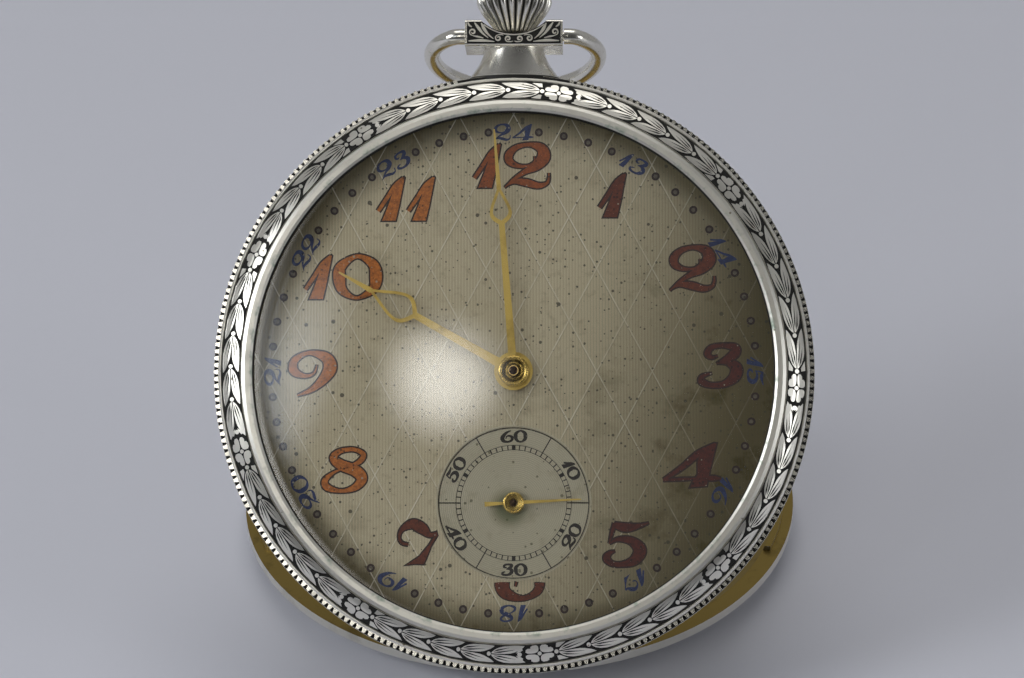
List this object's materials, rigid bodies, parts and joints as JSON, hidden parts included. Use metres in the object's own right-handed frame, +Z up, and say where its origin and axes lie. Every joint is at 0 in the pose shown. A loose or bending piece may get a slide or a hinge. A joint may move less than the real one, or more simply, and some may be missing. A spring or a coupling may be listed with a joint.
{
  "type": "pocket watch",
  "caption": "Open-face pocket watch with small seconds, leaning back on its open hinged back cover, with bow, crown and a geared hand-wound movement.",
  "frame": {"origin": "centre of the back cover's flat outside, which lies on the table", "axes": "+Z up from the table, +X to the dial's 3 o'clock, +Y behind the watch, away from the hinge at 6 o'clock"},
  "size_m": [0.05, 0.0539, 0.0514],
  "materials": {
    "case_metal": "worn nickel silver, engraved, blackened in the cuts",
    "gilt_metal": "gilt inside, worn",
    "dial_silver": "silvered, fine engine-turned lines, aged",
    "hand_gold": "gilt, polished",
    "crystal": "clear, domed",
    "plate_nickel": "nickelled brass, striped",
    "steel": "polished steel",
    "blued_steel": "blued",
    "brass": "gilt brass",
    "ruby": "polished"
  },
  "bodies": {
    "case": {"case_middle": "case_metal", "pendant": "case_metal", "pendant_sleeve": "steel", "bezel": "case_metal", "crystal": "crystal", "back_hinge_pin": "gilt_metal", "case_screws": "steel", "dial": "dial_silver", "dial_screws": "steel", "clutch_lever_spring": "steel", "main_plate": "plate_nickel", "barrel_bridge": "plate_nickel", "train_bridge": "plate_nickel", "pallet_bridge": "plate_nickel", "balance_cock": "plate_nickel", "bridge_screws": "steel", "jewels": "ruby", "winding_screws": "steel", "click_spring": "steel"},
    "back_cover": {"back_cover": "gilt_metal"},
    "bow": {"bow": "case_metal"},
    "winding_pinion": {"winding_pinion": "steel"},
    "crown": {"crown": "case_metal", "winding_stem": "steel"},
    "clutch_wheel": {"clutch_wheel": "steel"},
    "setting_lever": {"setting_lever": "steel"},
    "clutch_lever": {"clutch_lever": "steel"},
    "crown_wheel": {"crown_wheel": "steel"},
    "ratchet_wheel": {"ratchet_wheel": "steel", "barrel_arbor": "steel", "ratchet_screw": "steel"},
    "click": {"click": "steel"},
    "centre_wheel": {"centre_wheel": "brass", "cannon_pinion": "steel", "minute_hand": "hand_gold"},
    "hour_wheel": {"hour_wheel": "brass", "hour_hand": "hand_gold"},
    "minute_wheel": {"minute_wheel": "brass"},
    "setting_wheel": {"setting_wheel": "brass"},
    "barrel": {"barrel_drum": "brass", "barrel_cover": "brass", "mainspring": "steel"},
    "third_wheel": {"third_wheel": "brass"},
    "fourth_wheel": {"fourth_wheel": "brass", "seconds_hand": "hand_gold"},
    "escape_wheel": {"escape_wheel": "steel"},
    "pallet_fork": {"pallet_fork": "steel"},
    "balance": {"balance_wheel": "brass", "balance_screws": "brass", "balance_staff": "steel", "hairspring": "blued_steel"},
    "regulator": {"regulator": "steel"}
  },
  "joints": [
    {"name": "back_cover_hinge", "type": "hinge", "parent": "case", "child": "back_cover", "pos_m": [0, -0.0241, 0.00302], "axis": [1, 0, 0], "range_deg": [-43, 52]},
    {"name": "bow_pivot", "type": "hinge", "parent": "case", "child": "bow", "pos_m": [0, 0.00615, 0.04633], "axis": [1, 0, 0], "range_deg": [0, 210]},
    {"name": "crown_turn", "type": "hinge", "parent": "case", "child": "winding_pinion", "pos_m": [0, -0.00367, 0.03376], "axis": [0, 0.6157, 0.788], "continuous": true},
    {"name": "crown_pull", "type": "slide", "parent": "winding_pinion", "child": "crown", "axis": [0, 0.6157, 0.788], "range_m": [0, 0.001]},
    {"name": "clutch_slide", "type": "slide", "parent": "winding_pinion", "child": "clutch_wheel", "axis": [0, -0.6157, -0.788], "range_m": [0, 0.0007]},
    {"name": "setting_lever_turn", "type": "hinge", "parent": "case", "child": "setting_lever", "pos_m": [0.0038, -0.00365, 0.03768], "axis": [0, -0.788, 0.6157], "range_deg": [-15.09, 0]},
    {"name": "clutch_lever_turn", "type": "hinge", "parent": "case", "child": "clutch_lever", "pos_m": [-0.0045, -0.00544, 0.0354], "axis": [0, -0.788, 0.6157], "range_deg": [-8.92, 0]},
    {"name": "crown_wheel_turn", "type": "hinge", "parent": "case", "child": "crown_wheel", "pos_m": [0, -0.00364, 0.02957], "axis": [0, -0.788, 0.6157], "continuous": true},
    {"name": "ratchet_turn", "type": "hinge", "parent": "case", "child": "ratchet_wheel", "pos_m": [0.00816, -0.0071, 0.02515], "axis": [0, -0.788, 0.6157], "continuous": true},
    {"name": "click_turn", "type": "hinge", "parent": "case", "child": "click", "pos_m": [0.01172, -0.00297, 0.03044], "axis": [0, -0.788, 0.6157], "range_deg": [0, 12]},
    {"name": "minute_turn", "type": "hinge", "parent": "case", "child": "centre_wheel", "pos_m": [0, -0.01338, 0.02523], "axis": [0, -0.788, 0.6157], "continuous": true},
    {"name": "hour_turn", "type": "hinge", "parent": "case", "child": "hour_wheel", "pos_m": [0, -0.01338, 0.02523], "axis": [0, -0.788, 0.6157], "continuous": true},
    {"name": "minute_wheel_turn", "type": "hinge", "parent": "case", "child": "minute_wheel", "pos_m": [-0.00148, -0.00852, 0.02658], "axis": [0, -0.788, 0.6157], "continuous": true},
    {"name": "setting_wheel_turn", "type": "hinge", "parent": "case", "child": "setting_wheel", "pos_m": [-0.00043, -0.00548, 0.03047], "axis": [0, -0.788, 0.6157], "continuous": true},
    {"name": "barrel_turn", "type": "hinge", "parent": "case", "child": "barrel", "pos_m": [0.00816, -0.00867, 0.02638], "axis": [0, -0.788, 0.6157], "continuous": true},
    {"name": "third_turn", "type": "hinge", "parent": "case", "child": "third_wheel", "pos_m": [-0.0028, -0.0148, 0.01855], "axis": [0, -0.788, 0.6157], "continuous": true},
    {"name": "seconds_turn", "type": "hinge", "parent": "case", "child": "fourth_wheel", "pos_m": [0, -0.01773, 0.0148], "axis": [0, -0.788, 0.6157], "continuous": true},
    {"name": "escape_turn", "type": "hinge", "parent": "case", "child": "escape_wheel", "pos_m": [-0.00455, -0.01875, 0.01349], "axis": [0, -0.788, 0.6157], "continuous": true},
    {"name": "fork_rock", "type": "hinge", "parent": "case", "child": "pallet_fork", "pos_m": [-0.00725, -0.01753, 0.01505], "axis": [0, -0.788, 0.6157], "range_deg": [-5, 5]},
    {"name": "balance_swing", "type": "hinge", "parent": "case", "child": "balance", "pos_m": [-0.0113, -0.01569, 0.0174], "axis": [0, -0.788, 0.6157], "range_deg": [-270, 270]},
    {"name": "regulator_turn", "type": "hinge", "parent": "case", "child": "regulator", "pos_m": [-0.0113, -0.01569, 0.0174], "axis": [0, -0.788, 0.6157], "range_deg": [-25, 25]}
  ],
  "couplings": [
    {"joint": "clutch_slide", "follows": "crown_pull", "ratio": 0.7},
    {"joint": "setting_lever_turn", "follows": "crown_pull", "rad_per_m": -263.16},
    {"joint": "clutch_lever_turn", "follows": "crown_pull", "rad_per_m": -155.56},
    {"joint": "crown_wheel_turn", "follows": "crown_turn", "ratio": 0.5},
    {"joint": "ratchet_turn", "follows": "crown_turn", "ratio": -0.33333},
    {"joint": "barrel_turn", "follows": "minute_turn", "ratio": -0.125},
    {"joint": "third_turn", "follows": "minute_turn", "ratio": -8},
    {"joint": "seconds_turn", "follows": "minute_turn", "ratio": 60},
    {"joint": "escape_turn", "follows": "minute_turn", "ratio": -600},
    {"joint": "minute_wheel_turn", "follows": "minute_turn", "ratio": -0.33333},
    {"joint": "hour_turn", "follows": "minute_turn", "ratio": 0.083333},
    {"joint": "setting_wheel_turn", "follows": "minute_turn", "ratio": 0.6}
  ]
}
